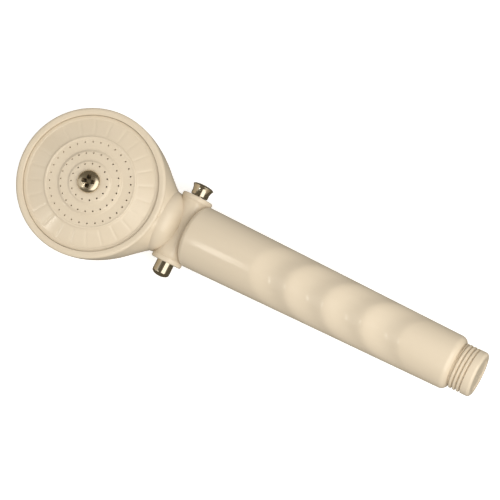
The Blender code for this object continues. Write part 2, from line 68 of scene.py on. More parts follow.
# The head's rim, the ledge inside it and the post under the plate.
RIM_RADIUS = 35.0 * MM
RIM_HEIGHT = -1.6 * MM
RIM_ROUND = 1.4 * MM
RIM_INNER_RADIUS = 33.4 * MM
RIM_INNER_DROP = 0.2 * MM
LEDGE_HEIGHT = -6.6 * MM
LEDGE_RADIUS = 28.8 * MM
HUB_RADIUS = 5.2 * MM
POST_TOP = -9.0 * MM
POST_BOTTOM = -36.3 * MM

# Spray plate.
PLATE_RADIUS = 31.6 * MM
PLATE_GAP = 0.12 * MM
PLATE_EDGE_TOP = -1.9 * MM
PLATE_UNDERSIDE = -5.0 * MM
PLATE_BORE_RADIUS = 2.5 * MM
HUB_TOP = 3.0 * MM
HUB_BOTTOM = POST_TOP + 0.3 * MM
HUB_SINK_RADIUS = 4.9 * MM
HUB_SINK_FLOOR = 2.1 * MM
CONE_TOP = 0.2 * MM
CONE_BOTTOM = -1.95 * MM
CREASES = 24
CREASE_DEPTH = 0.16 * MM
CREASE_WIDTH = 0.22
CREASE_INNER_RADIUS = 21.9 * MM
CREASE_OUTER_RADIUS = 29.8 * MM
HOLE_INNER_RADIUS = 0.36 * MM
HOLE_OUTER_RADIUS = 0.42 * MM

# Rings of spray holes: the ring's radius and height, how many holes it has, where its first hole is, and how
# far the holes lean outwards, in degrees.
SPRAY_RINGS = (
    (8.5 * MM, 2.85 * MM, 15, 10.4, 18.0),
    (13.6 * MM, 1.85 * MM, 24, 3.8, 24.0),
    (19.0 * MM, 0.65 * MM, 32, 0.5, 30.0),
)

# Face screw. Its recess narrows downwards: each row gives, in millimetres, how far the cross reaches, half the
# width of an arm, and the height over the seat.
SCREW_TURN = math.radians(13.0)
SCREW_SEAT = HUB_TOP + 0.3 * MM
SCREW_HEAD_RADIUS = 5.3 * MM
SCREW_THREAD_COUNT = 18
SCREW_CREST = 2.2 * MM
SCREW_ROOT = 1.85 * MM
SCREW_RECESS = ((1.4, 0.55, 0.3), (3.0, 0.86, 2.1), (4.2, 0.96, 4.0))
SCREW_RECESS_ROUND = 0.12

# Neck and back of the head.
NECK_RADIUS = 15.3 * MM
NECK_X = -10.1 * MM
NECK_RAKE = math.tan(FACE_TILT)
NECK_BULGE = 10.1 * MM
BACK_DEPTH = 16.2 * MM
BACK_BEND_X = -33.6 * MM
FLARE_POWER = 1.85
HEAD_WALL = 3.0 * MM
CHAMBER_X = -19.5 * MM
CHAMBER_RADIUS = 8.8 * MM
PASSAGE_RADIUS = 4.5 * MM

# Valve.
BARREL_RADIUS = 6.9 * MM
BARREL_HALF = 14.6 * MM
BARREL_END_RADIUS = 7.4 * MM
BARREL_FLARE = 1.8 * MM
BORE_RADIUS = 5.4 * MM
SPIGOT_RADIUS = 6.6 * MM
SPIGOT_REACH = 16.9 * MM
SPIGOT_CHAMFER = 0.5 * MM
SPIGOT_BORE_RADIUS = 4.2 * MM
SPIGOT_FLOOR = 6.3 * MM
SPIGOT_GROOVE_FLOOR = 5.4 * MM
SPIGOT_GROOVE_START = 11.15 * MM
SPIGOT_GROOVE_STOP = 12.85 * MM
PORT_RADIUS = 1.8 * MM
PORT_OFFSET = 2.2 * MM
CAP_RADIUS = 7.5 * MM
CAP_OUTER = 16.9 * MM
CAP_INNER = 13.0 * MM
CAP_HOLE_GAP = 0.25 * MM

# Spool, button and knob.
STEM_RADIUS = 4.2 * MM
LAND_RADIUS = 5.1 * MM
LAND_END = 10.2 * MM
SEAL_PLACES = (-8.9 * MM, 2.5 * MM, 8.9 * MM)
SEAL_GROOVE_HALF = 0.85 * MM
SEAL_GROOVE_FLOOR = 4.1 * MM
WAIST_RADIUS = 2.8 * MM
STEM_END = 17.2 * MM
STUD_RADIUS = 1.9 * MM
STUD_END = 20.8 * MM
BUTTON_EDGE = 21.9 * MM
BUTTON_END = 24.0 * MM
KNOB_START = 17.5 * MM
KNOB_HOLE_RADIUS = 2.2 * MM
KNOB_HOLE_END = 21.1 * MM
KNOB_EDGE = 22.2 * MM
KNOB_END = 23.3 * MM
KNOB_RADIUS = 5.15 * MM

# Handle and hose thread.
HANDLE_TOP_X = 8.7 * MM
HANDLE_BULGE = 5.0 * MM
HANDLE_RADIUS = 15.0 * MM
HANDLE_TAPER = 0.0188
SHOULDER_X = 143.2 * MM
SHOULDER_ROUND = 3.2 * MM
HANDLE_END = 153.9 * MM
THREAD_CREST = 10.4775 * MM
THREAD_ROOT = 9.33 * MM
THREAD_PITCH = 25.4 / 14 * MM
THREAD_START = 144.1 * MM
THREAD_STOP = 150.2 * MM
NOSE_ROUND = 1.4 * MM
HANDLE_WALL = 4.0 * MM
HOLLOW_START = 22.0 * MM
HOLLOW_STOP = 138.4 * MM
INLET_RADIUS = 7.6 * MM
INLET_FLOOR = 147.3 * MM
THROAT_RADIUS = 5.8 * MM
THROAT_END = 141.9 * MM

# Finger grooves.
GROOVE_COUNT = 4
GROOVE_START = 42.2 * MM
GROOVE_STEP = 19.15 * MM
GROOVE_DEPTH = 1.6 * MM
GROOVE_SWEEP = 13.0 * MM
RIDGE_ROUNDING = 0.5

# Inlet screen.
SCREEN_BOTTOM = 153.05 * MM
SCREEN_TOP = 153.5 * MM
SCREEN_RIM_TOP = 153.6 * MM
SCREEN_HOLE_RADIUS = 0.3 * MM
SCREEN_HOLE_MIDDLE = 153.0 * MM

# Camera: it looks down on the face, leaning towards the thread end, and rolled so the handle drops away.
LEAN_TO_THREAD = math.radians(18.7)
LEAN_TO_BUTTON = math.radians(2.4)
ROLL = math.radians(25.98)
CAMERA_DISTANCE = 0.7
CAMERA_LENS = 109.8
CAMERA_SENSOR = 36.0
AIM = Vector((34.3, 5.42, 0.0)) * MM

# Lamps: name, place, what it faces, size, strength, colour, and whether it shows in reflections. Their places
# are measured from STUDIO_MIDDLE.
WARM = (1.0, 0.955, 0.88)
WHITE = (1.0, 1.0, 1.0)
STUDIO_MIDDLE = ORIGIN + Vector((0.034, 0.0, 0.0))
LAMPS = (
    ("key_softbox", (0.52, -0.04, 0.42), (0.0, 0.0, 0.0), (0.95, 0.62), 1.75, WARM, True),
    ("fill_softbox", (-0.48, -0.25, 0.42), (0.0, 0.0, 0.0), (0.5, 0.6), 0.55, WARM, True),
    ("side_wash", (0.28, 0.6, 0.35), (0.08, 0.0, 0.0), (0.5, 0.4), 0.75, WHITE, False),
    ("side_wash", (0.28, -0.6, 0.35), (0.08, 0.0, 0.0), (0.5, 0.4), 0.35, WHITE, False),
    ("front_wash", (0.42, -0.04, 0.66), (0.04, 0.0, 0.0), (0.5, 0.5), 1.8, WHITE, False),
)

# The strip lamp is long and narrow, and shows as a streak on the grip. Its places are measured from ORIGIN, and
# STRIP_ALONG is the direction that it is long in.
STRIP_MIDDLE = Vector((-0.181, -0.257, 0.611))
STRIP_AIM = Vector((0.030, -0.002, 0.014))
STRIP_ALONG = Vector((30.0, 265.0, 84.0))
STRIP_SIZE = (0.026, 0.23)
STRIP_STRENGTH = 11.0

# Studio.


def make_camera():
    back = Vector(
        (
            math.sin(LEAN_TO_THREAD) * math.cos(LEAN_TO_BUTTON),
            -math.sin(LEAN_TO_BUTTON),
            math.cos(LEAN_TO_THREAD) * math.cos(LEAN_TO_BUTTON),
        )
    )
    level = Vector((1.0, 0.0, 0.0))
    level = (level - back * level.dot(back)).normalized()
    upright = back.cross(level)
    right = math.cos(ROLL) * level + math.sin(ROLL) * upright
    up = back.cross(right)
    place = ORIGIN + AIM + back * CAMERA_DISTANCE
    camera = bpy.data.objects.new("camera", bpy.data.cameras.new("camera"))
    camera.data.sensor_width = CAMERA_SENSOR
    camera.data.lens = CAMERA_LENS
    camera.data.clip_start = 0.05
    camera.data.clip_end = 20.0
    camera.matrix_world = Matrix(
        (
            (right.x, up.x, back.x, place.x),
            (right.y, up.y, back.y, place.y),
            (right.z, up.z, back.z, place.z),
            (0.0, 0.0, 0.0, 1.0),
        )
    )
    bpy.context.scene.collection.objects.link(camera)
    bpy.context.scene.camera = camera


def area_light(name, place, aim, size, strength, colour, glossy):
    """A rectangular soft light at place, facing aim. strength is its radiance, where 1 shows as white."""
    light = bpy.data.lights.new(name, "AREA")
    light.shape = "RECTANGLE"
    light.size, light.size_y = size
    light.energy = strength * math.pi * size[0] * size[1]
    light.color = colour
    obj = bpy.data.objects.new(name, light)
    obj.location = place
    obj.rotation_euler = (aim - place).to_track_quat("-Z", "Y").to_euler()
    obj.visible_glossy = glossy
    obj.visible_camera = False
    bpy.context.scene.collection.objects.link(obj)
    return obj


def make_lights():
    for name, place, aim, size, strength, colour, glossy in LAMPS:
        place, aim = STUDIO_MIDDLE + Vector(place), STUDIO_MIDDLE + Vector(aim)
        area_light(name, place, aim, size, strength, colour, glossy)
    place, aim = ORIGIN + STRIP_MIDDLE, ORIGIN + STRIP_AIM
    strip = area_light("strip_lamp", place, aim, STRIP_SIZE, STRIP_STRENGTH, WARM, True)
    strip.visible_diffuse = False
    back = (STRIP_MIDDLE - STRIP_AIM).normalized()
    along = (STRIP_ALONG - back * STRIP_ALONG.dot(back)).normalized()
    across = along.cross(back)
    turn = Matrix((across, along, back)).transposed()
    strip.rotation_euler = turn.to_euler()


def make_world():
    """White to the camera, a soft pale fill on matt surfaces, and a dim brown room in reflections."""
    world = bpy.data.worlds.new("studio")
    bpy.context.scene.world = world
    world.use_nodes = True
    nodes, links = world.node_tree.nodes, world.node_tree.links
    nodes.clear()
    path = nodes.new("ShaderNodeLightPath")
    shades = []
    for colour, strength in (((1.0, 0.98, 0.95), 0.48), ((0.27, 0.235, 0.17), 0.5), ((1.0, 1.0, 1.0), 1.0)):
        shade = nodes.new("ShaderNodeBackground")
        shade.inputs["Color"].default_value = (*colour, 1.0)
        shade.inputs["Strength"].default_value = strength
        shades.append(shade)
    fill, room, seen = shades
    lit = nodes.new("ShaderNodeMixShader")
    links.new(path.outputs["Is Glossy Ray"], lit.inputs[0])
    links.new(fill.outputs[0], lit.inputs[1])
    links.new(room.outputs[0], lit.inputs[2])
    final = nodes.new("ShaderNodeMixShader")
    links.new(path.outputs["Is Camera Ray"], final.inputs[0])
    links.new(lit.outputs[0], final.inputs[1])
    links.new(seen.outputs[0], final.inputs[2])
    out = nodes.new("ShaderNodeOutputWorld")
    links.new(final.outputs[0], out.inputs["Surface"])


def make_floor():
    """A pale disc just under the object, which catches its shadow."""
    bm = bmesh.new()
    bmesh.ops.create_circle(bm, cap_ends=True, segments=96, radius=3.0)
    mesh = bpy.data.meshes.new("floor")
    bm.to_mesh(mesh)
    bm.free()
    floor = bpy.data.objects.new("floor", mesh)
    floor.location.z = -0.0002
    mat = bpy.data.materials.new("floor_white")
    mat.use_nodes = True
    shader = mat.node_tree.nodes["Principled BSDF"]
    shader.inputs["Base Color"].default_value = (0.9, 0.9, 0.9, 1.0)
    shader.inputs["Roughness"].default_value = 0.9
    shader.inputs["Specular IOR Level"].default_value = 0.0
    shader.inputs["Emission Color"].default_value = (1.0, 1.0, 1.0, 1.0)
    shader.inputs["Emission Strength"].default_value = 0.5
    mesh.materials.append(mat)
    bpy.context.scene.collection.objects.link(floor)
    floor.visible_diffuse = False
    floor.visible_glossy = False


# Materials.


def node_material(name):
    """A new material, with its nodes, its links and its shader."""
    mat = bpy.data.materials.new(name)
    mat.use_nodes = True
    return mat, mat.node_tree.nodes, mat.node_tree.links, mat.node_tree.nodes["Principled BSDF"]


def noise(nodes, links, where, scale, detail, rough):
    tex = nodes.new("ShaderNodeTexNoise")
    tex.inputs["Scale"].default_value = scale
    tex.inputs["Detail"].default_value = detail
    tex.inputs["Roughness"].default_value = rough
    links.new(where, tex.inputs["Vector"])
    return tex.outputs["Fac"]


def stretched(nodes, links, scale):
    """Object coordinates scaled by a different amount on each axis."""
    coords = nodes.new("ShaderNodeTexCoord")
    mapping = nodes.new("ShaderNodeMapping")
    mapping.inputs["Scale"].default_value = scale
    links.new(coords.outputs["Object"], mapping.inputs["Vector"])
    return mapping.outputs["Vector"]


def spread(nodes, links, value, low, high, to_low, to_high):
    """value between low and high becomes a value between to_low and to_high."""
    ranged = nodes.new("ShaderNodeMapRange")
    for socket, number in (("From Min", low), ("From Max", high), ("To Min", to_low), ("To Max", to_high)):
        ranged.inputs[socket].default_value = number
    links.new(value, ranged.inputs["Value"])
    return ranged.outputs["Result"]


def blend_colour(nodes, links, value, first, second):
    """The first colour where value is 0, and the second where it is 1."""
    mix = nodes.new("ShaderNodeMix")
    mix.data_type = "RGBA"
    mix.inputs["A"].default_value = (*first, 1.0)
    mix.inputs["B"].default_value = (*second, 1.0)
    links.new(value, mix.inputs["Factor"])
    return mix.outputs["Result"]


def bump(nodes, links, height, depth, strength, normal=None):
    node = nodes.new("ShaderNodeBump")
    node.inputs["Distance"].default_value = depth
    node.inputs["Strength"].default_value = strength
    links.new(height, node.inputs["Height"])
    if normal is not None:
        links.new(normal, node.inputs["Normal"])
    return node.outputs["Normal"]


def total(nodes, links, first, second):
    node = nodes.new("ShaderNodeMath")
    node.operation = "ADD"
    links.new(first, node.inputs[0])
    links.new(second, node.inputs[1])
    return node.outputs[0]


def almond_plastic():
    """Glossy moulded ABS: faint flow mottling, orange-peel skin, and fine handling scratches in the gloss."""
    mat, nodes, links, shader = node_material("almond_abs")
    plain = stretched(nodes, links, (1.0, 1.0, 1.0))
    along = stretched(nodes, links, (0.25, 1.6, 1.6))
    flow = noise(nodes, links, along, 60.0, 5.0, 0.55)
    speck = noise(nodes, links, plain, 2600.0, 2.0, 0.5)
    tone = total(
        nodes,
        links,
        spread(nodes, links, flow, 0.3, 0.7, 0.0, 0.8),
        spread(nodes, links, speck, 0.2, 0.8, 0.0, 0.2),
    )
    colour = blend_colour(nodes, links, tone, (0.700, 0.602, 0.458), (0.735, 0.636, 0.492))
    links.new(colour, shader.inputs["Base Color"])
    scratch = noise(nodes, links, stretched(nodes, links, (120.0, 900.0, 900.0)), 1.0, 6.0, 0.7)
    wear = noise(nodes, links, plain, 90.0, 4.0, 0.6)
    gloss = total(
        nodes,
        links,
        spread(nodes, links, scratch, 0.5, 0.8, 0.0, 0.05),
        spread(nodes, links, wear, 0.3, 0.75, 0.13, 0.18),
    )
    links.new(gloss, shader.inputs["Roughness"])
    peel = noise(nodes, links, plain, 700.0, 3.0, 0.5)
    skin_normal = bump(nodes, links, peel, 0.00003, 0.10)
    links.new(bump(nodes, links, scratch, 0.00001, 0.03, skin_normal), shader.inputs["Normal"])
    shader.inputs["IOR"].default_value = 1.5
    return mat


def nickel_plate():
    """Bright nickel plating with fine turning marks and a slight haze."""
    mat, nodes, links, shader = node_material("nickel_plate")
    plain = stretched(nodes, links, (1.0, 1.0, 1.0))
    haze = noise(nodes, links, plain, 400.0, 5.0, 0.6)
    colour = blend_colour(nodes, links, haze, (0.60, 0.54, 0.43), (0.72, 0.66, 0.54))
    links.new(colour, shader.inputs["Base Color"])
    turning = noise(nodes, links, stretched(nodes, links, (300.0, 6000.0, 300.0)), 1.0, 3.0, 0.6)
    links.new(spread(nodes, links, turning, 0.3, 0.7, 0.12, 0.20), shader.inputs["Roughness"])
    links.new(bump(nodes, links, turning, 0.000005, 0.02), shader.inputs["Normal"])
    shader.inputs["Metallic"].default_value = 1.0
    return mat


def crevice_shade(nodes, links, reach, dark):
    """Painted shade from ambient occlusion: 1 in the open and dark in hollows narrower than about twice the reach.
    """
    shade = nodes.new("ShaderNodeAmbientOcclusion")
    shade.samples = 8
    shade.only_local = True
    shade.inputs["Distance"].default_value = reach
    return spread(nodes, links, shade.outputs["AO"], 0.45, 0.88, dark, 1.0)


def satin_screw():
    """Nickel on the screw: satin from the die, with painted shade darkening the cross recess."""
    mat, nodes, links, shader = node_material("nickel_screw")
    plain = stretched(nodes, links, (1.0, 1.0, 1.0))
    haze = noise(nodes, links, plain, 500.0, 5.0, 0.6)
    unshaded = blend_colour(nodes, links, haze, (0.72, 0.62, 0.47), (0.86, 0.76, 0.60))
    # Near-black painted shade, blended in wherever ambient occlusion finds the cross recess.
    mix = nodes.new("ShaderNodeMix")
    mix.data_type = "RGBA"
    mix.inputs["A"].default_value = (0.02, 0.014, 0.008, 1.0)
    links.new(unshaded, mix.inputs["B"])
    links.new(crevice_shade(nodes, links, 1.6 * MM, 0.0), mix.inputs["Factor"])
    links.new(mix.outputs["Result"], shader.inputs["Base Color"])
    links.new(spread(nodes, links, haze, 0.3, 0.7, 0.24, 0.32), shader.inputs["Roughness"])
    links.new(bump(nodes, links, haze, 0.00001, 0.05), shader.inputs["Normal"])
    shader.inputs["Metallic"].default_value = 1.0
    return mat


def plain_metal(name, dark, light, roughness):
    """Bare metal, lightly clouded."""
    mat, nodes, links, shader = node_material(name)
    plain = stretched(nodes, links, (1.0, 1.0, 1.0))
    cloud = noise(nodes, links, plain, 500.0, 6.0, 0.6)
    links.new(blend_colour(nodes, links, cloud, dark, light), shader.inputs["Base Color"])
    links.new(spread(nodes, links, cloud, 0.3, 0.7, roughness - 0.06, roughness + 0.08), shader.inputs["Roughness"])
    links.new(bump(nodes, links, cloud, 0.00002, 0.1), shader.inputs["Normal"])
    shader.inputs["Metallic"].default_value = 1.0
    return mat


def soft_solid(name, dark, light, roughness, grain):
    """Rubber or acetal: a fine matt grain with a little colour variation."""
    mat, nodes, links, shader = node_material(name)
    plain = stretched(nodes, links, (1.0, 1.0, 1.0))
    cloud = noise(nodes, links, plain, 150.0, 5.0, 0.6)
    fine = noise(nodes, links, plain, grain, 3.0, 0.6)
    links.new(blend_colour(nodes, links, cloud, dark, light), shader.inputs["Base Color"])
    links.new(spread(nodes, links, fine, 0.3, 0.7, roughness - 0.08, roughness + 0.08), shader.inputs["Roughness"])
    links.new(bump(nodes, links, fine, 0.00003, 0.25), shader.inputs["Normal"])
    return mat


# Mesh helpers.


def skin(rings, closed):
    """A surface over rings of points. A ring of one point is a pole; closed joins the last ring to the first."""
    bm = bmesh.new()
    rows = [[bm.verts.new(point) for point in ring] for ring in rings]
    following = rows[1:] + rows[:1] if closed else rows[1:]
    for low, high in zip(rows, following):
        count = max(len(low), len(high))
        for i in range(count):
            j = (i + 1) % count
            corners = (low[i % len(low)], low[j % len(low)], high[j % len(high)], high[i % len(high)])
            corners = list(dict.fromkeys(corners))
            if len(corners) > 2:
                bm.faces.new(corners)
    return bm


def turned(profile, sides, closed=False, lead=0.0):
    """A surface turned about Z through (radius, height) points. A closed profile makes a ring."""
    rings = []
    for radius, height in profile:
        if radius == 0.0:
            rings.append([(0.0, 0.0, height)])
            continue
        angles = [2 * math.pi * (i + lead) / sides for i in range(sides)]
        rings.append([(radius * math.cos(a), radius * math.sin(a), height) for a in angles])
    return skin(rings, closed)


def rod(radius, low, high, sides):
    """A plain rod along Z, turned a little so that its corners miss those of the piece that it cuts."""
    return turned(((0.0, low), (radius, low), (radius, high), (0.0, high)), sides, lead=CUTTER_LEAD)


def flared_rod(room, half_length):
    """The valve barrel's outside, with a hollow flare up to the bead at each end, and some room added all round."""
    half = [(0.0, half_length)]
    if half_length > BARREL_HALF:
        half.append((BARREL_END_RADIUS + room, half_length))
    steps = 8
    for i in range(steps + 1):
        part = (1 - i / steps) ** 2
        radius = BARREL_RADIUS + part * (BARREL_END_RADIUS - BARREL_RADIUS)
        half.append((radius + room, BARREL_HALF - BARREL_FLARE * i / steps))
    profile = [(radius, -height) for radius, height in half] + half[::-1]
    return turned(profile, 96, lead=CUTTER_LEAD)


def arc(centre, radii, start, stop, steps):
    """Points on an ellipse about centre, from the start to the stop angle in degrees."""
    points = []
    for i in range(steps + 1):
        angle = math.radians(start + (stop - start) * i / steps)
        points.append((centre[0] + radii[0] * math.cos(angle), centre[1] + radii[1] * math.sin(angle)))
    return points


def rounded(corners, rounding, steps=4, closed=True):
    """The outline through the corners, with each corner rounded by the radius given for it."""
    points = []
    count = len(corners)
    for i, corner in enumerate(corners):
        here = Vector(corner)
        size = rounding[i]
        if size == 0.0 or (not closed and i in (0, count - 1)):
            points.append(tuple(here))
            continue
        to_last = (Vector(corners[i - 1]) - here).normalized()
        to_next = (Vector(corners[(i + 1) % count]) - here).normalized()
        start, stop = here + to_last * size, here + to_next * size
        for k in range(steps + 1):
            t = k / steps
            points.append(tuple(start * (1 - t) ** 2 + here * (2 * t * (1 - t)) + stop * t**2))
    return points


FACE_AXIS = (
    Matrix.Translation(ORIGIN)
    @ Matrix.Translation((FACE_X, 0.0, FACE_Z))
    @ Matrix.Rotation(FACE_TILT, 4, "Y")
)
HANDLE_AXIS = Matrix.Translation(ORIGIN) @ Matrix.Rotation(math.pi / 2, 4, "Y")
SPOOL_AXIS = Matrix.Translation(ORIGIN) @ Matrix.Rotation(-math.pi / 2, 4, "X")
BODY_AXIS = Matrix.Translation(ORIGIN)


def mesh_object(name, bm, axis):
    """An object from bm, whose points are moved onto the axis."""
    bm.transform(axis)
    bmesh.ops.recalc_face_normals(bm, faces=bm.faces[:])
    mesh = bpy.data.meshes.new(name)
    bm.to_mesh(mesh)
    bm.free()
    obj = bpy.data.objects.new(name, mesh)
    bpy.context.scene.collection.objects.link(obj)
    return obj


def cut(target, bm, axis, operation="DIFFERENCE"):
    """Applies a Boolean to target, with the solid in bm."""
    other = mesh_object(target.name + "_cutter", bm, axis)
    modifier = target.modifiers.new("cut", "BOOLEAN")
    modifier.operation = operation
    modifier.object = other
    modifier.solver = "EXACT"
    graph = bpy.context.evaluated_depsgraph_get()
    made = bpy.data.meshes.new_from_object(target.evaluated_get(graph))
    target.modifiers.clear()
    old, target.data = target.data, made
    bpy.data.meshes.remove(old)
    spent = other.data
    bpy.data.objects.remove(other)
    bpy.data.meshes.remove(spent)


def finished(obj, mat, body, replaced, sharp_degrees=35.0):
    """Shades the piece, gives it its material, hides the CAD node it stands for, and hangs it on the body it rides
    on.
    """
    mesh = obj.data
    mesh.name = obj.name
    mesh.materials.clear()
    mesh.materials.append(mat)
    mesh.shade_smooth()
    mesh.set_sharp_from_angle(angle=math.radians(sharp_degrees))
    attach(obj, body)
    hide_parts(replaced)
    return obj


def across_x(x, radius, sides):
    """A circle round the handle's axis, starting at the top."""
    angles = [2 * math.pi * i / sides for i in range(sides)]
    return [Vector((x, radius * math.sin(a), radius * math.cos(a))) for a in angles]


def on_face(radius, height, sides):
    """A circle round the spray face's axis, starting at the side next to the handle."""
    towards_handle = Vector((math.cos(FACE_TILT), 0.0, -math.sin(FACE_TILT)))
    normal = Vector((math.sin(FACE_TILT), 0.0, math.cos(FACE_TILT)))
    centre = Vector((FACE_X, 0.0, FACE_Z)) + height * normal
    sideways = Vector((0.0, 1.0, 0.0))
    angles = [2 * math.pi * i / sides for i in range(sides)]
    return [centre + radius * (math.cos(a) * towards_handle + math.sin(a) * sideways) for a in angles]


def swept_sections(neck, face, back_depth, steps, sides):
    """Ellipses that swing from the neck's circle round to the face's circle, widening as they go.

    neck is (x, radius, rake) and face is (radius, height). The top of each ellipse stays near the inner bend.
    Its bottom follows a line along the back, and then a quarter ellipse up to the far side of the rim.
    """
    neck_x, neck_radius, rake = neck
    face_radius, face_height = face
    rim = on_face(face_radius, face_height, 2)
    bend_start = Vector((neck_x + rake * neck_radius, 0.0, neck_radius))
    back_start = Vector((neck_x - rake * neck_radius, 0.0, -neck_radius))
    back_bend = Vector((BACK_BEND_X, 0.0, -back_depth))
    reach = Vector((rim[1].x - back_bend.x, 0.0, rim[1].z - back_bend.z))
    straight = (back_bend - back_start).length
    curved = 0.75 * (abs(reach.x) + abs(reach.z))
    sections = []
    for step in range(1, steps):
        part = step / steps
        along = part * (straight + curved)
        if along < straight:
            back = back_start.lerp(back_bend, along / straight)
        else:
            turn = math.pi / 2 * (along - straight) / curved
            back = back_bend + Vector((reach.x * math.sin(turn), 0.0, reach.z * (1 - math.cos(turn))))
        bend = bend_start.lerp(rim[0], part)
        half = (back - bend) / 2
        width = face_radius + (neck_radius - face_radius) * (1 - part) ** FLARE_POWER
        angles = [2 * math.pi * i / sides for i in range(sides)]
        sideways = Vector((0.0, width, 0.0))
        sections.append([bend + half - half * math.cos(a) + sideways * math.sin(a) for a in angles])
    return sections


def bulged_end(neck_x, radius, bulge, rake, mouth, steps, sides):
    """Circles from the mouth out to the full radius, over an end that bulges towards the barrel.

    rake is how far the end leans along X for each unit up.
    """
    start = math.asin(mouth / radius)
    rings = []
    for i in range(steps + 1):
        angle = start + (math.pi / 2 - start) * i / steps
        circle = across_x(neck_x + bulge * math.cos(angle), radius * math.sin(angle), sides)
        rings.append([point + Vector((rake * point.z, 0.0, 0.0)) for point in circle])
    return rings


# Pieces.


def make_head_shell(mat):
    """The head's casing: neck, domed back, rounded rim and the ledge and chamber under the plate."""
    sides = 160
    mouth = SPIGOT_RADIUS - OVERLAP
    chamber_neck = (CHAMBER_X, CHAMBER_RADIUS, 0.0)
    rings = bulged_end(NECK_X, NECK_RADIUS, NECK_BULGE, NECK_RAKE, mouth, 26, sides)
    neck = (NECK_X, NECK_RADIUS, NECK_RAKE)
    rings += swept_sections(neck, (RIM_RADIUS, RIM_HEIGHT), BACK_DEPTH, 84, sides)
    lip = arc((RIM_RADIUS - RIM_ROUND, RIM_HEIGHT), (RIM_ROUND, RIM_ROUND), 0, 90, 12)
    rings += [on_face(radius, height, sides) for radius, height in lip]
    pocket = PLATE_RADIUS + PLATE_GAP
    wall = rounded(
        (
            (RIM_INNER_RADIUS, RIM_HEIGHT + RIM_ROUND),
            (pocket, RIM_HEIGHT + RIM_ROUND - RIM_INNER_DROP),
            (pocket, LEDGE_HEIGHT),
            (LEDGE_RADIUS, LEDGE_HEIGHT),
        ),
        (0.0, 0.5 * MM, 0.25 * MM, 0.0),
        closed=False,
    )
    rings += [on_face(radius, height, sides) for radius, height in wall]
    chamber = swept_sections(chamber_neck, (LEDGE_RADIUS, LEDGE_HEIGHT), BACK_DEPTH - HEAD_WALL, 24, sides)
    rings += chamber[::-1]
    rings.append(across_x(CHAMBER_X, CHAMBER_RADIUS, sides))
    rings.append(across_x(CHAMBER_X, PASSAGE_RADIUS, sides))
    rings.append(across_x(-SPIGOT_REACH, PASSAGE_RADIUS, sides))
    rings.append(across_x(-SPIGOT_REACH, mouth, sides))
    shell = mesh_object("head_casing", skin(rings, closed=True), BODY_AXIS)
    cut(shell, flared_rod(-OVERLAP, CUTTER_REACH), SPOOL_AXIS)
    cut(shell, rod(HUB_RADIUS, POST_BOTTOM, POST_TOP, 48), FACE_AXIS, "UNION")
    return finished(shell, mat, "housing", "head_shell", 55.0)


def crease_depth(angle):
    """How far the cone sinks at an angle: a narrow valley every fifteen degrees, with flat petals between."""
    valley = abs(math.cos(CREASES * angle / 2))
    return CREASE_DEPTH * math.exp(-((valley / CREASE_WIDTH) ** 2))


def make_spray_plate(mat):
    """The face plate: hub, two stepped rings of holes, a creased cone and a flat edge."""
    sides = CREASES * 16
    small, crisp = 0.3 * MM, 0.12 * MM
    outline = (
        ((PLATE_BORE_RADIUS, HUB_SINK_FLOOR), 0.0),
        ((HUB_SINK_RADIUS, HUB_SINK_FLOOR), 0.0),
        ((HUB_SINK_RADIUS, HUB_TOP), crisp),
        ((9.3 * MM, 2.8 * MM), small),
        ((10.2 * MM, 2.0 * MM), small),
        ((14.1 * MM, 1.85 * MM), small),
        ((15.2 * MM, 0.8 * MM), small),
        ((20.3 * MM, 0.6 * MM), small),
        ((20.8 * MM, 0.85 * MM), 0.2 * MM),
        ((21.3 * MM, 0.75 * MM), 0.2 * MM),
        ((21.8 * MM, CONE_TOP), small),
        ((29.9 * MM, CONE_BOTTOM), 0.15 * MM),
        ((30.2 * MM, PLATE_EDGE_TOP + 0.1 * MM), 0.15 * MM),
        ((PLATE_RADIUS, PLATE_EDGE_TOP), 0.15 * MM),
        ((PLATE_RADIUS, PLATE_UNDERSIDE), 0.0),
        ((LEDGE_RADIUS, PLATE_UNDERSIDE), 0.0),
        ((20.5 * MM, -1.6 * MM), 0.0),
        ((HUB_RADIUS, 0.4 * MM), 0.0),
        ((HUB_RADIUS, HUB_BOTTOM), 0.0),
        ((PLATE_BORE_RADIUS, HUB_BOTTOM), 0.0),
    )
    corners, rounding = zip(*outline)
    profile = []
    for radius, height in rounded(corners, rounding, steps=3):
        if profile and height > -3.5 * MM and radius - profile[-1][0] > 5 * MM:
            rungs = 14
            start = Vector(profile[-1])
            profile += [tuple(start.lerp(Vector((radius, height)), k / rungs)) for k in range(1, rungs)]
        profile.append((radius, height))
    bm = turned(profile, sides, closed=True)
    for vert in bm.verts:
        radius = math.hypot(vert.co.x, vert.co.y)
        if CREASE_INNER_RADIUS < radius < CREASE_OUTER_RADIUS and vert.co.z > -3.6 * MM:
            fade_in = (radius - CREASE_INNER_RADIUS) / (1.0 * MM)
            fade_out = (CREASE_OUTER_RADIUS - radius) / (0.8 * MM)
            vert.co.z -= min(1.0, fade_in, fade_out) * crease_depth(math.atan2(vert.co.y, vert.co.x))
    plate = mesh_object("face_plate", bm, FACE_AXIS)

    holes = bmesh.new()
    for ring_radius, height, count, first, lean in SPRAY_RINGS:
        for i in range(count):
            angle = math.radians(first) + 2 * math.pi * i / count
            made = bmesh.ops.create_cone(
                holes,
                cap_ends=True,
                segments=14,
                radius1=HOLE_INNER_RADIUS,
                radius2=HOLE_OUTER_RADIUS,
                depth=9.0 * MM,
            )
            place = (
                Matrix.Rotation(angle, 4, "Z")
                @ Matrix.Translation((ring_radius, 0.0, height))
                @ Matrix.Rotation(math.radians(lean), 4, "Y")
            )
            bmesh.ops.transform(holes, matrix=place, verts=made["verts"])
    cut(plate, holes, FACE_AXIS)
    return finished(plate, mat, "housing", "spray_plate", 28.0)


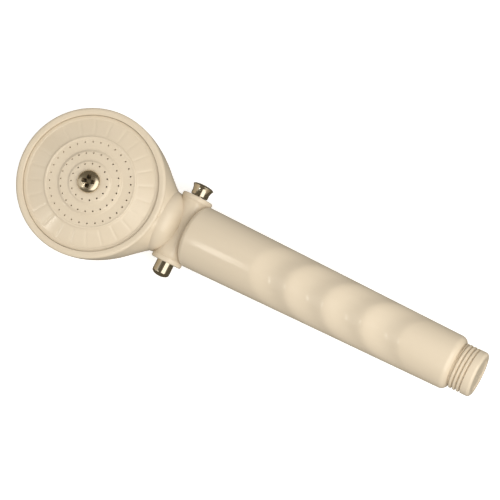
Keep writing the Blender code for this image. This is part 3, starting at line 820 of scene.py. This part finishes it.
def make_face_screw(mat):
    """A cross-recess pan-head screw with a rounded head and a threaded shank."""
    head, seat = SCREW_HEAD_RADIUS, SCREW_SEAT
    profile = [(0.0, -19.5 * MM), (1.2 * MM, -19.2 * MM), (2.0 * MM, -18.2 * MM)]
    for i in range(SCREW_THREAD_COUNT):
        height = -18.0 * MM + 17.0 * MM * i / SCREW_THREAD_COUNT
        profile += [(SCREW_CREST, height), (SCREW_ROOT, height + 0.45 * MM)]
    profile += [(SCREW_CREST, -0.8 * MM), (SCREW_CREST, seat)]
    profile += [(head - 0.25 * MM, seat), (head, seat + 0.25 * MM)]
    profile += arc((0.0, seat + 0.6 * MM), (head, 2.0 * MM), 0, 84, 18)
    profile.append((0.0, seat + 2.6 * MM))
    screw = mesh_object("pan_screw", turned(profile, 72), FACE_AXIS)
    recess = bmesh.new()
    rows = []
    for reach, half_width, height in SCREW_RECESS:
        row = []
        for quarter in range(4):
            along = Vector((math.cos(quarter * math.pi / 2), math.sin(quarter * math.pi / 2), 0.0))
            side = Vector((-along.y, along.x, 0.0))
            lift = Vector((0.0, 0.0, seat + height * MM))
            row.append(recess.verts.new(along * reach * MM - side * half_width * MM + lift))
            row.append(recess.verts.new(along * reach * MM + side * half_width * MM + lift))
            row.append(recess.verts.new((along + side) * (half_width + SCREW_RECESS_ROUND) * MM + lift))
        rows.append(row)
    for low, high in zip(rows, rows[1:]):
        for i in range(12):
            j = (i + 1) % 12
            recess.faces.new((low[i], low[j], high[j], high[i]))
    recess.faces.new(rows[0])
    recess.faces.new(rows[-1])
    cut(screw, recess, FACE_AXIS @ Matrix.Rotation(SCREW_TURN, 4, "Z"))
    return finished(screw, mat, "housing", "face_screw")


def make_valve_barrel(mat):
    """The barrel across the neck with its two spigots, bored through for the spool."""
    half = [
        (SPIGOT_RADIUS, SPIGOT_GROOVE_START),
        (SPIGOT_GROOVE_FLOOR, SPIGOT_GROOVE_START),
        (SPIGOT_GROOVE_FLOOR, SPIGOT_GROOVE_STOP),
        (SPIGOT_RADIUS, SPIGOT_GROOVE_STOP),
        (SPIGOT_RADIUS, SPIGOT_REACH - SPIGOT_CHAMFER),
        (SPIGOT_RADIUS - SPIGOT_CHAMFER, SPIGOT_REACH),
        (0.0, SPIGOT_REACH),
    ]
    profile = [(radius, -height) for radius, height in half[::-1]] + half
    barrel = mesh_object("valve_barrel", turned(profile, 96), HANDLE_AXIS)
    cut(barrel, flared_rod(0.0, BARREL_HALF), SPOOL_AXIS, "UNION")
    for side in (1, -1):
        ends = sorted((side * SPIGOT_FLOOR, side * CUTTER_REACH))
        cut(barrel, rod(SPIGOT_BORE_RADIUS, *ends, 48), HANDLE_AXIS)
        ends = sorted((side * 1.0 * MM, side * 8.0 * MM))
        port = Matrix.Translation((0.0, -side * PORT_OFFSET, 0.0))
        cut(barrel, rod(PORT_RADIUS, *ends, 24), port @ HANDLE_AXIS)
    cut(barrel, rod(BORE_RADIUS, -CUTTER_REACH, CUTTER_REACH, 96), SPOOL_AXIS)
    return finished(barrel, mat, "housing", "valve_body")


def make_barrel_cap(name, side, replaced, mat):
    """A beaded cap on one end of the barrel, with a hole that guides the stem."""
    hole = STEM_RADIUS + CAP_HOLE_GAP
    shelf = BARREL_HALF + 0.01 * MM
    corners = (
        (hole, CAP_INNER),
        (LAND_RADIUS, CAP_INNER),
        (LAND_RADIUS, shelf),
        (BARREL_END_RADIUS, shelf),
        (CAP_RADIUS, BARREL_HALF + 0.7 * MM),
        (CAP_RADIUS, CAP_OUTER),
        (hole, CAP_OUTER),
    )
    rounding = (0.0, 0.2 * MM, 0.0, 0.1 * MM, 0.4 * MM, 0.9 * MM, 0.35 * MM)
    profile = [(radius, side * height) for radius, height in rounded(corners, rounding, steps=6)]
    cap = mesh_object(name, turned(profile, 96, closed=True), SPOOL_AXIS)
    return finished(cap, mat, "housing", replaced)


def make_spool(mat):
    """The spool: a bright stem ending in the push button, sealing lands, and the stud under the knob."""
    groove, floor = SEAL_GROOVE_HALF, SEAL_GROOVE_FLOOR
    corners = [(0.0, -BUTTON_END)]
    corners += arc((0.0, -BUTTON_EDGE), (STEM_RADIUS, BUTTON_END - BUTTON_EDGE), -84, 0, 14)
    corners += [(STEM_RADIUS, -LAND_END), (LAND_RADIUS, -LAND_END)]
    rounding = [0.0] * (len(corners) - 1) + [0.2 * MM]
    for number, centre in enumerate(SEAL_PLACES):
        if number == 1:
            corners += [(LAND_RADIUS, -7.5 * MM), (WAIST_RADIUS, -7.1 * MM)]
            corners += [(WAIST_RADIUS, 0.7 * MM), (LAND_RADIUS, 1.1 * MM)]
            rounding += [0.1 * MM, 0.3 * MM, 0.3 * MM, 0.1 * MM]
        corners += [(LAND_RADIUS, centre - groove), (floor, centre - groove)]
        corners += [(floor, centre + groove), (LAND_RADIUS, centre + groove)]
        rounding += [0.08 * MM] * 4
    corners += [(LAND_RADIUS, LAND_END), (STEM_RADIUS, LAND_END), (STEM_RADIUS, STEM_END)]
    corners += [(STUD_RADIUS, STEM_END), (STUD_RADIUS, STUD_END), (0.0, STUD_END)]
    rounding += [0.2 * MM, 0.0, 0.15 * MM, 0.0, 0.2 * MM, 0.0]
    profile = rounded(corners, rounding, steps=4, closed=False)
    spool = mesh_object("spool_and_button", turned(profile, 72), SPOOL_AXIS)
    return finished(spool, mat, "spool", "valve_spool")


def make_knob(mat):
    """The pull knob: a short stem flaring to a thin-lipped, gently domed disc."""
    chamfer, lip = 0.15 * MM, 0.2 * MM
    profile = [(0.0, KNOB_HOLE_END), (KNOB_HOLE_RADIUS, KNOB_HOLE_END), (KNOB_HOLE_RADIUS, KNOB_START)]
    profile += [(STEM_RADIUS - chamfer, KNOB_START), (STEM_RADIUS, KNOB_START + chamfer)]
    steps = 12
    for i in range(steps + 1):
        part = i / steps
        profile.append((STEM_RADIUS + part**2 * (KNOB_RADIUS - lip - STEM_RADIUS), (19.0 + part * 2.9) * MM))
    profile += arc((KNOB_RADIUS - lip, KNOB_EDGE - 0.1 * MM), (lip, lip), -60, 80, 7)
    profile += arc((0.0, KNOB_EDGE), (KNOB_RADIUS - lip, KNOB_END - KNOB_EDGE), 12, 84, 10)
    profile.append((0.0, KNOB_END))
    knob = mesh_object("pull_knob", turned(profile, 72), SPOOL_AXIS)
    return finished(knob, mat, "spool", "spool_knob")


def handle_radius(x):
    """The plain taper's radius, without the finger grooves."""
    return HANDLE_RADIUS - HANDLE_TAPER * (x - HANDLE_TOP_X)


def grooved_radius(x, angle):
    """The grip's radius, with finger grooves across the front that fade and sweep back towards the sides."""
    radius = handle_radius(x)
    facing = math.cos(angle)
    along = (x - GROOVE_START - GROOVE_SWEEP * (1 - facing)) / GROOVE_STEP
    if facing <= 0.0 or not 0.0 < along < GROOVE_COUNT:
        return radius
    hollow = math.hypot(math.sin(math.pi * along), RIDGE_ROUNDING) - RIDGE_ROUNDING
    deepest = math.hypot(1.0, RIDGE_ROUNDING) - RIDGE_ROUNDING
    return radius - GROOVE_DEPTH * facing**2 * hollow / deepest


def thread_radius(x, angle):
    """The hose thread: a rounded V groove that climbs one pitch each turn and runs out before the plain lead."""
    phase = ((x - THREAD_START) / THREAD_PITCH - angle / (2 * math.pi)) % 1.0
    height = min(1.0, 1.6 - 3.2 * abs(phase - 0.5))
    if x > THREAD_STOP:
        height = 1.0
    return THREAD_ROOT + height * (THREAD_CREST - THREAD_ROOT)


def ring_about_x(x, radius_at, sides):
    """A closed line round the handle's axis, as far out at each angle as radius_at says."""
    points = []
    for i in range(sides):
        angle = 2 * math.pi * i / sides
        radius = radius_at(x, angle)
        points.append(Vector((x, radius * math.sin(angle), radius * math.cos(angle))))
    return points


def make_handle(mat):
    """The hollow handle: rounded top, tapered grip with finger grooves, shoulder, hose thread and inlet."""
    sides = 160
    mouth = SPIGOT_RADIUS - OVERLAP
    rings = bulged_end(HANDLE_TOP_X, HANDLE_RADIUS, -HANDLE_BULGE, 0.0, mouth, 22, sides)
    rings += [across_x(x * MM, handle_radius(x * MM), sides) for x in (14.0, 22.0, 32.0)]
    grip = GROOVE_COUNT * GROOVE_STEP + GROOVE_SWEEP
    steps = 150
    for i in range(steps + 1):
        rings.append(ring_about_x(GROOVE_START + grip * i / steps, grooved_radius, sides))
    rings.append(across_x(136.0 * MM, handle_radius(136.0 * MM), sides))
    edge = SHOULDER_X - SHOULDER_ROUND
    top = handle_radius(edge)
    shoulder = arc((edge, top - SHOULDER_ROUND), (SHOULDER_ROUND, SHOULDER_ROUND), 90, 0, 12)
    shoulder += [(SHOULDER_X + 0.05 * MM, THREAD_ROOT + 0.4 * MM), (SHOULDER_X + 0.3 * MM, THREAD_ROOT)]
    rings += [across_x(x, radius, sides) for x, radius in shoulder]
    steps = 72
    start = THREAD_START - 0.2 * MM
    for i in range(steps + 1):
        rings.append(ring_about_x(start + (THREAD_STOP + 0.3 * MM - start) * i / steps, thread_radius, sides))
    nose = NOSE_ROUND
    tail = arc((HANDLE_END - nose, THREAD_CREST - nose), (nose, nose), 90, 0, 8)
    tail += [
        (HANDLE_END, INLET_RADIUS + 0.15 * MM),
        (HANDLE_END - 0.15 * MM, INLET_RADIUS),
        (INLET_FLOOR, INLET_RADIUS),
        (INLET_FLOOR, THROAT_RADIUS),
        (THROAT_END, THROAT_RADIUS),
        (HOLLOW_STOP, handle_radius(HOLLOW_STOP) - HANDLE_WALL),
        (HOLLOW_START, handle_radius(HOLLOW_START) - HANDLE_WALL),
        (19.5 * MM, PASSAGE_RADIUS),
        (SPIGOT_REACH, PASSAGE_RADIUS),
        (SPIGOT_REACH, mouth),
    ]
    rings += [across_x(x, radius, sides) for x, radius in tail]
    handle = mesh_object("grip_handle", skin(rings, closed=True), BODY_AXIS)
    cut(handle, flared_rod(-OVERLAP, CUTTER_REACH), SPOOL_AXIS)
    return finished(handle, mat, "housing", "handle_shell", 40.0)


def make_inlet_screen(mat):
    """A rimmed, perforated disc in the hose end."""
    corners = (
        (0.0, SCREEN_BOTTOM),
        (7.5 * MM, SCREEN_BOTTOM),
        (7.5 * MM, SCREEN_RIM_TOP),
        (6.8 * MM, SCREEN_RIM_TOP),
        (6.6 * MM, SCREEN_TOP),
        (0.0, SCREEN_TOP),
    )
    profile = rounded(corners, (0.0, 0.1 * MM, 0.15 * MM, 0.1 * MM, 0.1 * MM, 0.0), steps=3, closed=False)
    screen = mesh_object("mesh_screen", turned(profile, 72), HANDLE_AXIS)
    holes = bmesh.new()
    size = SCREEN_HOLE_RADIUS
    for ring in range(4):
        count = max(1, 6 * ring)
        radius = 1.8 * ring * MM
        for i in range(count):
            angle = 2 * math.pi * i / count
            made = bmesh.ops.create_cone(holes, cap_ends=True, segments=10, radius1=size, radius2=size, depth=3 * MM)
            place = Vector((radius * math.cos(angle), radius * math.sin(angle), SCREEN_HOLE_MIDDLE))
            bmesh.ops.translate(holes, verts=made["verts"], vec=place)
    cut(screen, holes, HANDLE_AXIS)
    return finished(screen, mat, "housing", "inlet_screen")


def dress(node, mat):
    """Gives a CAD node that stays in view its finished material."""
    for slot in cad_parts[node].material_slots:
        slot.material = mat


bpy.context.scene.view_settings.view_transform = "Standard"
make_camera()
make_lights()
make_world()
make_floor()

almond = almond_plastic()
nickel = nickel_plate()
brass = plain_metal("brass_insert", (0.55, 0.38, 0.16), (0.72, 0.53, 0.25), 0.28)
rubber = soft_solid("black_rubber", (0.012, 0.012, 0.013), (0.03, 0.03, 0.032), 0.58, 1800.0)
acetal = soft_solid("white_acetal", (0.72, 0.72, 0.69), (0.82, 0.82, 0.80), 0.38, 900.0)

make_head_shell(almond)
make_spray_plate(almond)
make_face_screw(satin_screw())
make_valve_barrel(almond)
make_barrel_cap("cap_knob_side", 1, "barrel_cap_knob_side", almond)
make_barrel_cap("cap_button_side", -1, "barrel_cap_button_side", almond)
make_spool(nickel)
make_knob(nickel)
make_handle(almond)
make_inlet_screen(almond)
dress("screw_insert", brass)
dress("flow_restrictor", acetal)
for node in ("face_gasket", "screw_washer", "neck_seal_head", "neck_seal_handle", "restrictor_seal"):
    dress(node, rubber)
for place in ("inlet", "seat", "outlet"):
    dress("spool_seal_" + place, rubber)
